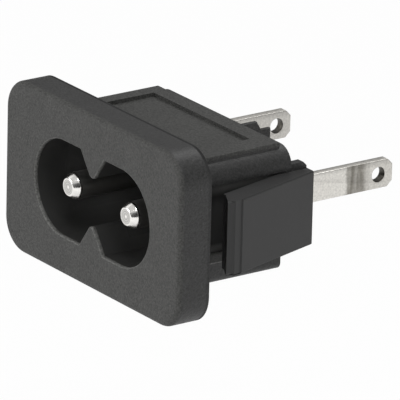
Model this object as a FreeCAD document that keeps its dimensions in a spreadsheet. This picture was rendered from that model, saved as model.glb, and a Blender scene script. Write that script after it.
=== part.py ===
"""Two-pole figure-eight mains inlet that snaps into a panel.

Millimetres. The origin is the middle of the flange's rear face, where the panel seats.
+X runs along the two contacts, +Y points into the equipment and +Z is up.
"""
import FreeCAD, Part
import math
import os

import Sketcher

# Name, value in millimetres, what it measures
SIZES = [
    ("flange_width", 26.1, "front flange, left to right"),
    ("flange_height", 15.4, "front flange, bottom to top"),
    ("flange_thick", 3.1, "front flange, front to back"),
    ("flange_corner", 2.8, "radius of the flange's corners"),
    ("flange_edge", 0.5, "rounding round the flange's front edge"),
    ("body_width", 19.6, "body behind the panel, left to right"),
    ("body_height", 10.6, "body behind the panel, bottom to top"),
    ("body_length", 10.5, "body behind the panel, front to back"),
    ("body_corner", 1.7, "rounding along the body's upper long corners"),
    ("base_corner", 0.65, "rounding along the body's lower long corners"),
    ("plate_width", 17.6, "raised plate on the body's top"),
    ("plate_rise", 0.35, "how far the plate stands out of the body"),
    ("plate_edge", 0.12, "rounding along the plate's side and rear edges"),
    ("rear_step", 0.6, "how far the plate stops short of the rear face"),
    ("lower_step", 0.9, "how far the lower rear edge stops short of the rear face"),
    ("plate_split", 2.0, "from the middle to the shorter half of the plate"),
    ("plate_short", 0.24, "how much shorter that half of the plate is"),
    ("label_width", 14.1, "sunk panel in the plate, left to right"),
    ("label_shift", 0.3, "from the middle to the sunk panel's middle, to the left"),
    ("label_front", 1.6, "sunk panel, from the panel seat to its front edge"),
    ("label_length", 6.7, "sunk panel, front to back"),
    ("label_depth", 0.33, "depth of the sunk panel"),
    ("pole_pitch", 8.6, "contact to contact"),
    ("lobe_radius", 4.25, "round ends of the socket"),
    ("socket_depth", 11.0, "socket, from the flange's front face to its floor"),
    ("notch_half", 1.75, "half of the waist notch's width at its mouth"),
    ("notch_reach", 2.15, "from the middle of the socket to a notch's tip"),
    ("notch_round", 0.5, "rounding of a notch's tip"),
    ("mouth_edge", 0.2, "rounding round the socket's mouth"),
    ("lobe_wall", 0.6, "wall between a lobe and the bay beside it"),
    ("bay_height", 6.8, "side bays that the arms bend into"),
    ("bay_wall", 0.6, "wall between the side bays and the rear face"),
    ("root_outer", 9.65, "from the middle to the outer face of an arm's root"),
    ("root_inner", 8.9, "from the middle to the inner face of an arm's root"),
    ("root_height", 7.7, "arm's root, bottom to top"),
    ("root_length", 1.65, "arm's root, behind the body"),
    ("root_ease", 0.35, "chamfer on the root's rear corners"),
    ("arm_height", 6.55, "spring arm, bottom to top"),
    ("arm_rear", 10.7, "from the middle to the arm's rear outer corner"),
    ("arm_front", 13.35, "from the middle to the front of the arm's long face"),
    ("arm_front_at", 3.05, "from the panel seat to the front of the arm's long face"),
    ("arm_step", 0.08, "depth of the step at the front of the arm's long face"),
    ("arm_nose", 13.43, "from the middle to the arm's widest corner"),
    ("arm_nose_at", 2.22, "from the panel seat to the arm's widest corner"),
    ("arm_nose_step", 0.07, "depth of the step at the arm's widest corner"),
    ("arm_tip", 13.2, "from the middle to the arm's tip"),
    ("arm_tip_at", 1.57, "from the panel seat to the arm's tip"),
    ("arm_tip_ease", 0.18, "chamfer above and below the arm's tip"),
    ("arm_end", 0.3, "flat at the arm's inner front corner"),
    ("arm_inner_front", 11.44, "from the middle to the arm's inner front corner"),
    ("arm_inner_at", 2.38, "from the panel seat to the arm's inner front corner"),
    ("arm_inner_rear", 9.55, "from the middle to the arm's inner side at its root"),
    ("arm_ease", 0.1, "chamfer along the arm's outer long edges"),
    ("rib_thick", 0.5, "barrier between the two terminals"),
    ("rib_height", 8.48, "barrier, bottom to top"),
    ("rib_length", 3.27, "barrier behind the body, at its full height"),
    ("rib_slope", 0.47, "sloping shoulder of the barrier"),
    ("rib_end_height", 6.92, "end of the barrier, bottom to top"),
    ("rib_end_length", 0.97, "end of the barrier, front to back"),
    ("rib_edge", 0.12, "rounding round the barrier's outline"),
    ("pin_diameter", 2.36, "contact"),
    ("pin_setback", 0.6, "from the flange's front face to a contact's tip"),
    ("pin_cone", 0.52, "length of the cone at a contact's tip"),
    ("pin_tip_diameter", 1.56, "flat at a contact's tip"),
    ("pin_root_diameter", 3.0, "contact where it passes through the floor"),
    ("tail_diameter", 1.8, "contact where it passes through its terminal"),
    ("head_diameter", 2.9, "closed rivet head behind a terminal"),
    ("head_height", 0.55, "closed rivet head, front to back"),
    ("head_ease", 0.3, "chamfer of the closed rivet head"),
    ("seat_clearance", 0.02, "gap all round a contact in its hole"),
    ("tab_thick", 0.8, "terminal sheet"),
    ("tab_width", 2.5, "terminal's tab, bottom to top"),
    ("tab_offset", 7.4, "from the middle to the middle of a tab's sheet"),
    ("tab_rise", 0.45, "from the contact's axis up to the tab's middle"),
    ("tab_length", 12.1, "tab, from the body's rear face to its end"),
    ("tab_ease", 0.52, "chamfer on the tab's end corners"),
    ("tab_hole", 1.3, "wire hole in a tab"),
    ("tab_hole_end", 1.5, "from the tab's end to the wire hole's middle"),
    ("eye_radius", 1.75, "round end of a terminal's foot"),
    ("bend_outside", 0.9, "outer radius of a terminal's bend"),
    ("bend_inside", 0.3, "inner radius of a terminal's bend"),
]

# The sketcher's own numbers for its axes, its origin and the points of a curve
ACROSS_AXIS, UP_AXIS = -1, -2
ORIGIN = ACROSS_AXIS
START, END, CENTRE = 1, 2, 3
X, Y, Z = 0, 1, 2
NEAR = 1e-4

doc = FreeCAD.newDocument("panel_inlet")
sheet = doc.addObject("Spreadsheet::Sheet", "dims")
for row, (name, value, note) in enumerate(SIZES, start=1):
    sheet.set(f"A{row}", note)
    sheet.set(f"B{row}", str(value))
    sheet.setAlias(f"B{row}", name)
doc.recompute()


def new_body(label):
    """Makes an empty body whose label names its file."""
    body = doc.addObject("PartDesign::Body", label)
    body.Label = label
    return body


def new_sketch(body, name, role, offset="0"):
    """Makes a sketch on one of the body's own origin planes, moved along its normal."""
    plane = next(item for item in body.Origin.OriginFeatures if item.Role == role)
    sketch = body.newObject("Sketcher::SketchObject", name)
    sketch.AttachmentSupport = [(plane, "")]
    sketch.MapMode = "FlatFace"
    sketch.setExpression("AttachmentOffset.Base.z", offset)
    doc.recompute()
    return sketch


def measure(expression):
    """Gives an expression's present value as a plain number."""
    return float(sheet.evalExpression(expression))


def bind(sketch, constraint, expression):
    """Adds a constraint and ties its value to an expression."""
    index = sketch.addConstraint(constraint)
    sketch.setExpression(f"Constraints[{index}]", expression)


def fix_point(sketch, geometry, point, across, up):
    """Ties a point's two sketch coordinates to expressions."""
    for kind, axis, expression in (("DistanceX", UP_AXIS, across), ("DistanceY", ACROSS_AXIS, up)):
        if expression == "0":
            sketch.addConstraint(Sketcher.Constraint("PointOnObject", geometry, point, axis))
        else:
            value = measure(expression)
            bind(sketch, Sketcher.Constraint(kind, ORIGIN, START, geometry, point, value), expression)


def corner(across, up):
    """Gives the sketch point that a pair of expressions stands for."""
    return FreeCAD.Vector(measure(across), measure(up), 0)


def polygon(sketch, corners):
    """Draws a closed outline of straight lines through pairs of expressions."""
    points = [corner(across, up) for across, up in corners]
    first = sketch.GeometryCount
    count = len(corners)
    for index in range(count):
        sketch.addGeometry(Part.LineSegment(points[index], points[(index + 1) % count]), False)
    for index in range(count):
        following = first + (index + 1) % count
        sketch.addConstraint(Sketcher.Constraint("Coincident", first + index, END, following, START))
    for index, (across, up) in enumerate(corners):
        fix_point(sketch, first + index, START, across, up)


def rectangle(sketch, left, right, bottom, top):
    """Draws a rectangle between four expressions."""
    polygon(sketch, [(left, bottom), (right, bottom), (right, top), (left, top)])


def circle(sketch, across, up, diameter):
    """Draws a circle whose middle and diameter are expressions."""
    radius = measure(diameter) / 2
    index = sketch.addGeometry(Part.Circle(corner(across, up), FreeCAD.Vector(0, 0, 1), radius), False)
    fix_point(sketch, index, CENTRE, across, up)
    bind(sketch, Sketcher.Constraint("Diameter", index, 2 * radius), diameter)


def arc(sketch, middle, radius, start_angle, end_angle):
    """Draws an arc, anticlockwise, and gives its number."""
    full = Part.Circle(middle, FreeCAD.Vector(0, 0, 1), radius)
    return sketch.addGeometry(Part.ArcOfCircle(full, start_angle, end_angle), False)


def pad(body, sketch, name, length, backwards=False, both_ways=False):
    """Pads a sketch by an expression."""
    feature = body.newObject("PartDesign::Pad", name)
    feature.Profile = sketch
    feature.setExpression("Length", length)
    feature.Reversed = backwards
    feature.Midplane = both_ways
    sketch.Visibility = False
    doc.recompute()
    return feature


def pocket(body, sketch, name, length, backwards=False, both_ways=False):
    """Cuts a sketch out by an expression and makes sure that it removes material."""
    before = body.Shape.Volume
    feature = body.newObject("PartDesign::Pocket", name)
    feature.Profile = sketch
    feature.setExpression("Length", length)
    feature.Reversed = backwards
    feature.Midplane = both_ways
    sketch.Visibility = False
    doc.recompute()
    if body.Shape.Volume > before - NEAR:
        raise RuntimeError(f"{name} removes nothing")
    return feature


def dress(body, kind, name, radius, wanted):
    """Rounds or chamfers the body's edges for which wanted(edge) is true."""
    base = body.Tip
    edges = [f"Edge{index}" for index, edge in enumerate(base.Shape.Edges, start=1) if wanted(edge)]
    if not edges:
        raise RuntimeError(f"{name} finds no edge")
    feature = body.newObject(f"PartDesign::{kind}", name)
    feature.Base = (base, edges)
    feature.setExpression("Radius" if kind == "Fillet" else "Size", radius)
    doc.recompute()
    return feature


def close(first, second):
    """Tells whether two lengths are the same."""
    return abs(first - second) < NEAR


def runs_along(edge, axis):
    """Tells whether a straight edge is parallel to one axis, by its number."""
    if not isinstance(edge.Curve, Part.Line):
        return False
    return abs(abs(edge.Curve.Direction[axis]) - 1) < NEAR


def in_plane(edge, axis, value):
    """Tells whether an edge lies in the plane at a value on one axis."""
    box = edge.BoundBox
    low = (box.XMin, box.YMin, box.ZMin)[axis]
    high = (box.XMax, box.YMax, box.ZMax)[axis]
    return abs(low - value) < NEAR and abs(high - value) < NEAR


def add_flange(body):
    """The front flange, with round corners."""
    sketch = new_sketch(body, "flange_outline", "XZ_Plane")
    rectangle(sketch, "-dims.flange_width / 2", "dims.flange_width / 2",
              "-dims.flange_height / 2", "dims.flange_height / 2")
    pad(body, sketch, "flange", "dims.flange_thick")
    dress(body, "Fillet", "flange_corners", "dims.flange_corner", lambda edge: runs_along(edge, Y))


def add_box(body):
    """The box behind the panel, with a raised plate on top, a sunk panel in it and a lower rear step."""
    sketch = new_sketch(body, "box_outline", "XZ_Plane")
    rectangle(sketch, "-dims.body_width / 2", "dims.body_width / 2",
              "-dims.body_height / 2", "dims.body_height / 2")
    pad(body, sketch, "box", "dims.body_length", backwards=True)
    half_width = measure("dims.body_width / 2")
    half_height = measure("dims.body_height / 2")

    def box_corner(edge, height):
        middle = edge.CenterOfMass
        return runs_along(edge, Y) and close(abs(middle.x), half_width) and close(middle.z, height)

    dress(body, "Fillet", "upper_corners", "dims.body_corner", lambda edge: box_corner(edge, half_height))
    dress(body, "Fillet", "lower_corners", "dims.base_corner", lambda edge: box_corner(edge, -half_height))

    plate = new_sketch(body, "plate_outline", "XZ_Plane")
    rectangle(plate, "-dims.plate_width / 2", "dims.plate_width / 2",
              "0", "dims.body_height / 2 + dims.plate_rise")
    pad(body, plate, "plate", "dims.body_length - dims.rear_step", backwards=True)

    short = new_sketch(body, "short_half_outline", "XY_Plane", "dims.body_height / 2 + dims.plate_rise")
    rectangle(short, "-dims.plate_width / 2", "-dims.plate_split",
              "dims.body_length - dims.rear_step - dims.plate_short", "dims.body_length - dims.rear_step")
    pocket(body, short, "short_half", "dims.plate_rise")
    plate_top = measure("dims.body_height / 2 + dims.plate_rise")
    plate_side = measure("dims.plate_width / 2")
    plate_rear = measure("dims.body_length - dims.rear_step")

    def plate_rim(edge):
        middle = edge.CenterOfMass
        along_side = runs_along(edge, Y) and close(abs(middle.x), plate_side)
        along_rear = runs_along(edge, X) and close(middle.y, plate_rear)
        return close(middle.z, plate_top) and (along_side or along_rear)

    dress(body, "Fillet", "plate_edges", "dims.plate_edge", plate_rim)

    label = new_sketch(body, "label_outline", "XY_Plane", "dims.body_height / 2 + dims.plate_rise")
    rectangle(label, "-dims.label_shift - dims.label_width / 2", "dims.label_width / 2 - dims.label_shift",
              "dims.label_front", "dims.label_front + dims.label_length")
    pocket(body, label, "label_panel", "dims.label_depth")

    rebate = new_sketch(body, "rebate_outline", "XZ_Plane", "-dims.body_length")
    rectangle(rebate, "-dims.body_width / 2", "dims.body_width / 2",
              "-dims.body_height / 2", "-dims.root_height / 2")
    pocket(body, rebate, "lower_rebate", "dims.lower_step", backwards=True)


def add_bays(body):
    """The side bays, cut to the round of the socket's lobes so that the wall stays even."""
    sketch = new_sketch(body, "bay_outline", "XZ_Plane")
    radius = measure("dims.lobe_radius + dims.lobe_wall")
    half = measure("dims.bay_height / 2")
    reach = measure("dims.body_width")
    rise = math.asin(half / radius)
    for side in (1, -1):
        sign = "" if side > 0 else "-"
        middle = FreeCAD.Vector(side * measure("dims.pole_pitch / 2"), 0, 0)
        if side > 0:
            curve = arc(sketch, middle, radius, -rise, rise)
            low, high = START, END
        else:
            curve = arc(sketch, middle, radius, math.pi - rise, math.pi + rise)
            low, high = END, START
        near = middle.x + side * radius * math.cos(rise)
        far = side * reach
        bottom = sketch.addGeometry(Part.LineSegment(FreeCAD.Vector(near, -half, 0),
                                                     FreeCAD.Vector(far, -half, 0)), False)
        outer = sketch.addGeometry(Part.LineSegment(FreeCAD.Vector(far, -half, 0),
                                                    FreeCAD.Vector(far, half, 0)), False)
        top = sketch.addGeometry(Part.LineSegment(FreeCAD.Vector(far, half, 0),
                                                  FreeCAD.Vector(near, half, 0)), False)
        sketch.addConstraint(Sketcher.Constraint("Coincident", curve, low, bottom, START))
        sketch.addConstraint(Sketcher.Constraint("Coincident", bottom, END, outer, START))
        sketch.addConstraint(Sketcher.Constraint("Coincident", outer, END, top, START))
        sketch.addConstraint(Sketcher.Constraint("Coincident", top, END, curve, high))
        sketch.addConstraint(Sketcher.Constraint("Horizontal", bottom))
        sketch.addConstraint(Sketcher.Constraint("Horizontal", top))
        fix_point(sketch, curve, CENTRE, f"{sign}dims.pole_pitch / 2", "0")
        bind(sketch, Sketcher.Constraint("Radius", curve, radius), "dims.lobe_radius + dims.lobe_wall")
        fix_point(sketch, outer, START, f"{sign}dims.body_width", "-dims.bay_height / 2")
        fix_point(sketch, outer, END, f"{sign}dims.body_width", "dims.bay_height / 2")
    pocket(body, sketch, "bays", "dims.body_length - dims.bay_wall")


def add_arms(body):
    """The two spring arms, each on a root behind the body and stepped at its tip."""
    bay_rear = "dims.body_length - dims.bay_wall"
    roots = new_sketch(body, "root_outline", "XY_Plane")
    for sign in ("", "-"):
        polygon(roots, [
            (f"{sign}dims.root_inner", bay_rear),
            (f"{sign}dims.root_outer", bay_rear),
            (f"{sign}dims.root_outer", "dims.body_length + dims.root_length"),
            (f"{sign}dims.root_inner", "dims.body_length + dims.root_length"),
        ])
    pad(body, roots, "roots", "dims.root_height", both_ways=True)
    root_end = measure("dims.body_length + dims.root_length")
    half_root = measure("dims.root_height / 2")
    dress(body, "Chamfer", "root_corners", "dims.root_ease",
          lambda edge: runs_along(edge, X) and in_plane(edge, Y, root_end)
          and close(abs(edge.CenterOfMass.z), half_root))

    arms = new_sketch(body, "arm_outline", "XY_Plane")
    rear = "dims.body_length + dims.root_length"
    past_nose = "dims.arm_nose_at - dims.arm_nose_step"
    for sign in ("", "-"):
        polygon(arms, [
            (f"{sign}dims.root_inner", rear),
            (f"{sign}dims.arm_rear", rear),
            (f"{sign}dims.arm_front", "dims.arm_front_at"),
            (f"{sign}(dims.arm_front - dims.arm_step)", "dims.arm_front_at - dims.arm_step"),
            (f"{sign}dims.arm_nose", "dims.arm_nose_at"),
            (f"{sign}(dims.arm_nose - dims.arm_nose_step)", past_nose),
            (f"{sign}dims.arm_tip", "dims.arm_tip_at"),
            (f"{sign}(dims.arm_inner_front + dims.arm_end)", "dims.arm_inner_at"),
            (f"{sign}dims.arm_inner_front", "dims.arm_inner_at"),
            (f"{sign}dims.arm_inner_rear", bay_rear),
            (f"{sign}dims.root_inner", bay_rear),
        ])
    pad(body, arms, "arms", "dims.arm_height", both_ways=True)
    half_arm = measure("dims.arm_height / 2")
    widest = measure("dims.arm_front")
    widest_at = measure("dims.arm_front_at")

    def outer_edge(edge):
        if not isinstance(edge.Curve, Part.Line) or not close(abs(edge.CenterOfMass.z), half_arm):
            return False
        ends = [vertex.Point for vertex in edge.Vertexes]
        front = [p for p in ends if close(abs(p.x), widest) and close(p.y, widest_at)]
        return len(front) == 1 and max(p.y for p in ends) > widest_at + NEAR

    dress(body, "Chamfer", "arm_edges", "dims.arm_ease", outer_edge)
    tip_at = measure("dims.arm_tip_at")
    past_nose_at = measure(past_nose)

    def tip_edge(edge):
        if not isinstance(edge.Curve, Part.Line) or not close(abs(edge.CenterOfMass.z), half_arm):
            return False
        places = sorted(vertex.Point.y for vertex in edge.Vertexes)
        return close(places[0], tip_at) and close(places[1], past_nose_at)

    dress(body, "Chamfer", "tip_edges", "dims.arm_tip_ease", tip_edge)


def add_barrier(body):
    """The stepped barrier between the two terminals."""
    sketch = new_sketch(body, "barrier_outline", "YZ_Plane")
    floor = "dims.socket_depth - dims.flange_thick"
    shoulder = "dims.body_length + dims.rib_length"
    slope_end = f"{shoulder} + dims.rib_slope"
    tip = f"{slope_end} + dims.rib_end_length"
    polygon(sketch, [
        (floor, "-dims.rib_height / 2"),
        (shoulder, "-dims.rib_height / 2"),
        (slope_end, "-dims.rib_end_height / 2"),
        (tip, "-dims.rib_end_height / 2"),
        (tip, "dims.rib_end_height / 2"),
        (slope_end, "dims.rib_end_height / 2"),
        (shoulder, "dims.rib_height / 2"),
        (floor, "dims.rib_height / 2"),
    ])
    pad(body, sketch, "barrier", "dims.rib_thick", both_ways=True)
    side = measure("dims.rib_thick / 2")
    rear = measure("dims.body_length")
    dress(body, "Fillet", "barrier_edges", "dims.rib_edge",
          lambda edge: (in_plane(edge, X, side) or in_plane(edge, X, -side))
          and edge.CenterOfMass.y > rear + NEAR)


def add_socket(body):
    """The figure-eight socket: two round ends and a pointed notch above and below the waist."""
    sketch = new_sketch(body, "socket_outline", "XZ_Plane", "dims.flange_thick")
    pitch = measure("dims.pole_pitch / 2")
    lobe = measure("dims.lobe_radius")
    half = measure("dims.notch_half")
    reach = measure("dims.notch_reach")
    tip = measure("dims.notch_round")
    right = arc(sketch, FreeCAD.Vector(pitch, 0, 0), lobe, -math.pi / 2, math.pi / 2)
    left = arc(sketch, FreeCAD.Vector(-pitch, 0, 0), lobe, math.pi / 2, 3 * math.pi / 2)
    for side in (1, -1):
        sign = "" if side > 0 else "-"
        # The notch's flank is tangent to its round tip
        run = math.hypot(half, lobe - reach - tip)
        lean = math.atan2(half, lobe - reach - tip) - math.asin(tip / run)
        touch_x = tip * math.cos(lean)
        touch_y = reach + tip - tip * math.sin(lean)
        places = [(pitch, lobe), (half, lobe), (touch_x, touch_y),
                  (-touch_x, touch_y), (-half, lobe), (-pitch, lobe)]
        places = [FreeCAD.Vector(x, side * y, 0) for x, y in places]
        flat_right = sketch.addGeometry(Part.LineSegment(places[0], places[1]), False)
        flank_right = sketch.addGeometry(Part.LineSegment(places[1], places[2]), False)
        flank_left = sketch.addGeometry(Part.LineSegment(places[3], places[4]), False)
        flat_left = sketch.addGeometry(Part.LineSegment(places[4], places[5]), False)
        middle = FreeCAD.Vector(0, side * (reach + tip), 0)
        if side > 0:
            point = arc(sketch, middle, tip, math.pi + lean, 2 * math.pi - lean)
            at_left, at_right = START, END
        else:
            point = arc(sketch, middle, tip, lean, math.pi - lean)
            at_left, at_right = END, START
        lobe_end = {1: (END, START), -1: (START, END)}[side]
        sketch.addConstraint(Sketcher.Constraint("Coincident", right, lobe_end[0], flat_right, START))
        sketch.addConstraint(Sketcher.Constraint("Coincident", flat_right, END, flank_right, START))
        sketch.addConstraint(Sketcher.Constraint("Tangent", flank_right, END, point, at_right))
        sketch.addConstraint(Sketcher.Constraint("Tangent", point, at_left, flank_left, START))
        sketch.addConstraint(Sketcher.Constraint("Coincident", flank_left, END, flat_left, START))
        sketch.addConstraint(Sketcher.Constraint("Coincident", flat_left, END, left, lobe_end[1]))
        fix_point(sketch, flat_right, START, "dims.pole_pitch / 2", f"{sign}dims.lobe_radius")
        fix_point(sketch, flat_right, END, "dims.notch_half", f"{sign}dims.lobe_radius")
        fix_point(sketch, flat_left, START, "-dims.notch_half", f"{sign}dims.lobe_radius")
        fix_point(sketch, flat_left, END, "-dims.pole_pitch / 2", f"{sign}dims.lobe_radius")
        fix_point(sketch, point, CENTRE, "0", f"{sign}(dims.notch_reach + dims.notch_round)")
        bind(sketch, Sketcher.Constraint("Radius", point, tip), "dims.notch_round")
    for lobe_arc, sign, place in ((right, "", pitch), (left, "-", -pitch)):
        middle_at = Sketcher.Constraint("DistanceX", ORIGIN, START, lobe_arc, CENTRE, place)
        bind(sketch, middle_at, f"{sign}dims.pole_pitch / 2")
    pocket(body, sketch, "socket", "dims.socket_depth")

    holes = new_sketch(body, "contact_holes", "XZ_Plane", "dims.flange_thick")
    for sign in ("", "-"):
        circle(holes, f"{sign}dims.pole_pitch / 2", "0", "dims.pin_root_diameter + 2 * dims.seat_clearance")
    pocket(body, holes, "contact_passages", "dims.flange_thick + dims.body_length")


def finish_front(body):
    """Rounds the flange's front rim and the socket's mouth."""
    front = -measure("dims.flange_thick")
    reach_x = measure("dims.pole_pitch / 2 + dims.lobe_radius") + NEAR
    reach_z = measure("dims.lobe_radius") + NEAR

    def mouth(edge):
        box = edge.BoundBox
        inside = max(-box.XMin, box.XMax) < reach_x and max(-box.ZMin, box.ZMax) < reach_z
        return in_plane(edge, Y, front) and inside

    dress(body, "Fillet", "flange_front", "dims.flange_edge",
          lambda edge: in_plane(edge, Y, front) and not mouth(edge))
    dress(body, "Fillet", "socket_mouth", "dims.mouth_edge", mouth)


def build_housing():
    """The one moulded piece: flange, body, socket, arms and barrier."""
    body = new_body("housing")
    add_flange(body)
    add_box(body)
    add_bays(body)
    add_arms(body)
    add_barrier(body)
    add_socket(body)
    finish_front(body)
    return body


def build_contact(label, sign):
    """One turned contact with a cone at its tip and a closed rivet head at its tail."""
    body = new_body(label)
    sketch = new_sketch(body, f"{label}_profile", "XY_Plane")
    tip = "dims.pin_setback - dims.flange_thick"
    floor = "dims.socket_depth - dims.flange_thick"
    rear = "dims.body_length"
    sheet_rear = f"{rear} + dims.tab_thick"
    head_rear = f"{sheet_rear} + dims.head_height"
    polygon(sketch, [
        ("0", tip),
        ("dims.pin_tip_diameter / 2", tip),
        ("dims.pin_diameter / 2", f"{tip} + dims.pin_cone"),
        ("dims.pin_diameter / 2", floor),
        ("dims.pin_root_diameter / 2", floor),
        ("dims.pin_root_diameter / 2", rear),
        ("dims.tail_diameter / 2", rear),
        ("dims.tail_diameter / 2", sheet_rear),
        ("dims.head_diameter / 2", sheet_rear),
        ("dims.head_diameter / 2 - dims.head_ease", head_rear),
        ("0", head_rear),
    ])
    turned = body.newObject("PartDesign::Revolution", f"{label}_turned")
    turned.Profile = sketch
    turned.ReferenceAxis = (sketch, ["V_Axis"])
    turned.Angle = 360
    body.setExpression("Placement.Base.x", f"{sign}dims.pole_pitch / 2")
    doc.recompute()
    return body


def build_terminal(label, sign):
    """One bent terminal: a foot riveted to the contact and a tab with a wire hole."""
    body = new_body(label)
    side = -1 if sign else 1
    rear = "-dims.body_length"
    foot = new_sketch(body, f"{label}_foot_outline", "XZ_Plane", rear)
    outer = f"{sign}(dims.tab_offset + dims.tab_thick / 2)"
    neck = f"{sign}(dims.tab_offset + dims.tab_thick / 2 - dims.bend_outside - dims.bend_inside)"
    top = "dims.tab_rise + dims.tab_width / 2"
    bottom = "dims.tab_rise - dims.tab_width / 2"
    eye = measure("dims.eye_radius")
    middle = FreeCAD.Vector(side * measure("dims.pole_pitch / 2"), 0, 0)
    eye_top = (f"{sign}dims.pole_pitch / 2", "dims.eye_radius")
    eye_bottom = (f"{sign}dims.pole_pitch / 2", "-dims.eye_radius")
    corners = [eye_top, (neck, top), (outer, top), (outer, bottom), (neck, bottom), eye_bottom]
    points = [corner(across, up) for across, up in corners]
    count = len(corners) - 1
    lines = [foot.addGeometry(Part.LineSegment(points[k], points[k + 1]), False) for k in range(count)]
    if side > 0:
        curve = arc(foot, middle, eye, math.pi / 2, 3 * math.pi / 2)
        at_top, at_bottom = START, END
    else:
        curve = arc(foot, middle, eye, -math.pi / 2, math.pi / 2)
        at_top, at_bottom = END, START
    for k in range(count - 1):
        foot.addConstraint(Sketcher.Constraint("Coincident", lines[k], END, lines[k + 1], START))
    foot.addConstraint(Sketcher.Constraint("Coincident", curve, at_top, lines[0], START))
    foot.addConstraint(Sketcher.Constraint("Coincident", lines[-1], END, curve, at_bottom))
    for k in range(count):
        fix_point(foot, lines[k], START, *corners[k])
    fix_point(foot, lines[-1], END, *corners[-1])
    bind(foot, Sketcher.Constraint("DistanceX", ORIGIN, START, curve, CENTRE, middle.x),
         f"{sign}dims.pole_pitch / 2")
    pad(body, foot, f"{label}_foot", "dims.tab_thick", backwards=True)

    tab = new_sketch(body, f"{label}_tab_outline", "YZ_Plane", f"{sign}dims.tab_offset")
    end = "dims.body_length + dims.tab_length"
    polygon(tab, [
        ("dims.body_length", bottom),
        (f"{end} - dims.tab_ease", bottom),
        (end, f"{bottom} + dims.tab_ease"),
        (end, f"{top} - dims.tab_ease"),
        (f"{end} - dims.tab_ease", top),
        ("dims.body_length", top),
    ])
    pad(body, tab, f"{label}_tab", "dims.tab_thick", both_ways=True)

    outside = measure("dims.tab_offset + dims.tab_thick / 2")
    inside = measure("dims.tab_offset - dims.tab_thick / 2")
    front = measure("dims.body_length")
    sheet_rear = measure("dims.body_length + dims.tab_thick")
    dress(body, "Fillet", f"{label}_bend_outside", "dims.bend_outside",
          lambda edge: runs_along(edge, Z) and in_plane(edge, Y, front)
          and close(abs(edge.CenterOfMass.x), outside))
    dress(body, "Fillet", f"{label}_bend_inside", "dims.bend_inside",
          lambda edge: runs_along(edge, Z) and in_plane(edge, Y, sheet_rear)
          and close(abs(edge.CenterOfMass.x), inside))

    wire = new_sketch(body, f"{label}_wire_hole_outline", "YZ_Plane", f"{sign}dims.tab_offset")
    circle(wire, f"{end} - dims.tab_hole_end", "dims.tab_rise", "dims.tab_hole")
    pocket(body, wire, f"{label}_wire_hole", "2 * dims.tab_thick", both_ways=True)
    tail = new_sketch(body, f"{label}_tail_hole_outline", "XZ_Plane", rear)
    circle(tail, f"{sign}dims.pole_pitch / 2", "0", "dims.tail_diameter + 2 * dims.seat_clearance")
    pocket(body, tail, f"{label}_tail_hole", "2 * dims.tab_thick")
    return body


def main():
    """Builds every piece, checks it and writes it out."""
    pieces = [
        build_housing(),
        build_contact("contact_right", ""),
        build_contact("contact_left", "-"),
        build_terminal("terminal_right", ""),
        build_terminal("terminal_left", "-"),
    ]
    doc.recompute()
    for item in doc.Objects:
        if "Invalid" in item.State or "Error" in item.State:
            raise RuntimeError(f"{item.Name} failed: {item.State}")
    os.makedirs("parts", exist_ok=True)
    for body in pieces:
        shape = body.Shape
        if shape.isNull() or not shape.isValid() or len(shape.Solids) != 1:
            raise RuntimeError(f"{body.Label} is not one valid solid")
    for body in pieces:
        body.Shape.exportStep(os.path.join("parts", f"{body.Label}.step"))
        box = body.Shape.BoundBox
        print(body.Label, "volume", round(body.Shape.Volume, 2),
              "box", [round(v, 2) for v in (box.XMin, box.XMax, box.YMin, box.YMax, box.ZMin, box.ZMax)])


main()
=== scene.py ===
"""Dresses the figure-eight panel inlet and sets it on a studio stage."""
import math

import bmesh
import bpy
from bpy.props import FloatProperty, FloatVectorProperty, IntProperty, PointerProperty
from mathutils import Matrix, Vector


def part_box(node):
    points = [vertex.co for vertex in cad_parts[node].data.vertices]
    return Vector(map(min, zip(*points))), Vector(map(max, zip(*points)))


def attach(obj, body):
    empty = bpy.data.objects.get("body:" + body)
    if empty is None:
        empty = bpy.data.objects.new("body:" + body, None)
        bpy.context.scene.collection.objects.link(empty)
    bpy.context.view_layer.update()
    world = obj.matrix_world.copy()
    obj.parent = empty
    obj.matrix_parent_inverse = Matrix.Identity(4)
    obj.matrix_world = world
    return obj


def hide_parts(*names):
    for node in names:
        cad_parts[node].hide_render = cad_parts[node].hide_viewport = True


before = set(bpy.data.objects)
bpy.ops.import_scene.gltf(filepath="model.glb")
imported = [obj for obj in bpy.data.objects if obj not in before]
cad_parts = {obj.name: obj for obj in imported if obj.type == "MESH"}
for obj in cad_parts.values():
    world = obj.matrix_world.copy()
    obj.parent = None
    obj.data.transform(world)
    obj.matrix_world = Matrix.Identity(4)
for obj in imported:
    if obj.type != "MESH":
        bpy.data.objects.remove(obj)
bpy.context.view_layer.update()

bl_info = {
    "name": "Panel inlet dresser",
    "version": (1, 0, 0),
    "blender": (4, 5, 0),
    "location": "View3D > Sidebar > Inlet",
    "description": "Gives a figure-eight panel inlet its finishes, contacts, tabs and a stage",
    "category": "Object",
}

MM = 0.001
BODY = "root"
CONTACT_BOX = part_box("contact_right")
TERMINAL_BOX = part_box("terminal_right")
HOUSING_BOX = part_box("housing")
POLE = (CONTACT_BOX[0].x + CONTACT_BOX[1].x) / 2

# A mask's whole range, and its levels at the two ends of a border
MASK_RANGE = (0.0, 1.0)
RISE = (0.0, 1.0)
FALL = (1.0, 0.0)

# Make-up of the shared grain: sizes against its own, and shares of each noise
PIT_PITCH = 0.42
CLOUD_PITCH = 0.05
FINE_NOISE = {"Detail": 2.0, "Roughness": 0.6}
CLOUD_NOISE = {"Detail": 3.0, "Roughness": 0.65}
PIT_SHARE = 0.35
CLOUD_SHARE = 0.13
NOISE_MIDDLE = 0.5

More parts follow.
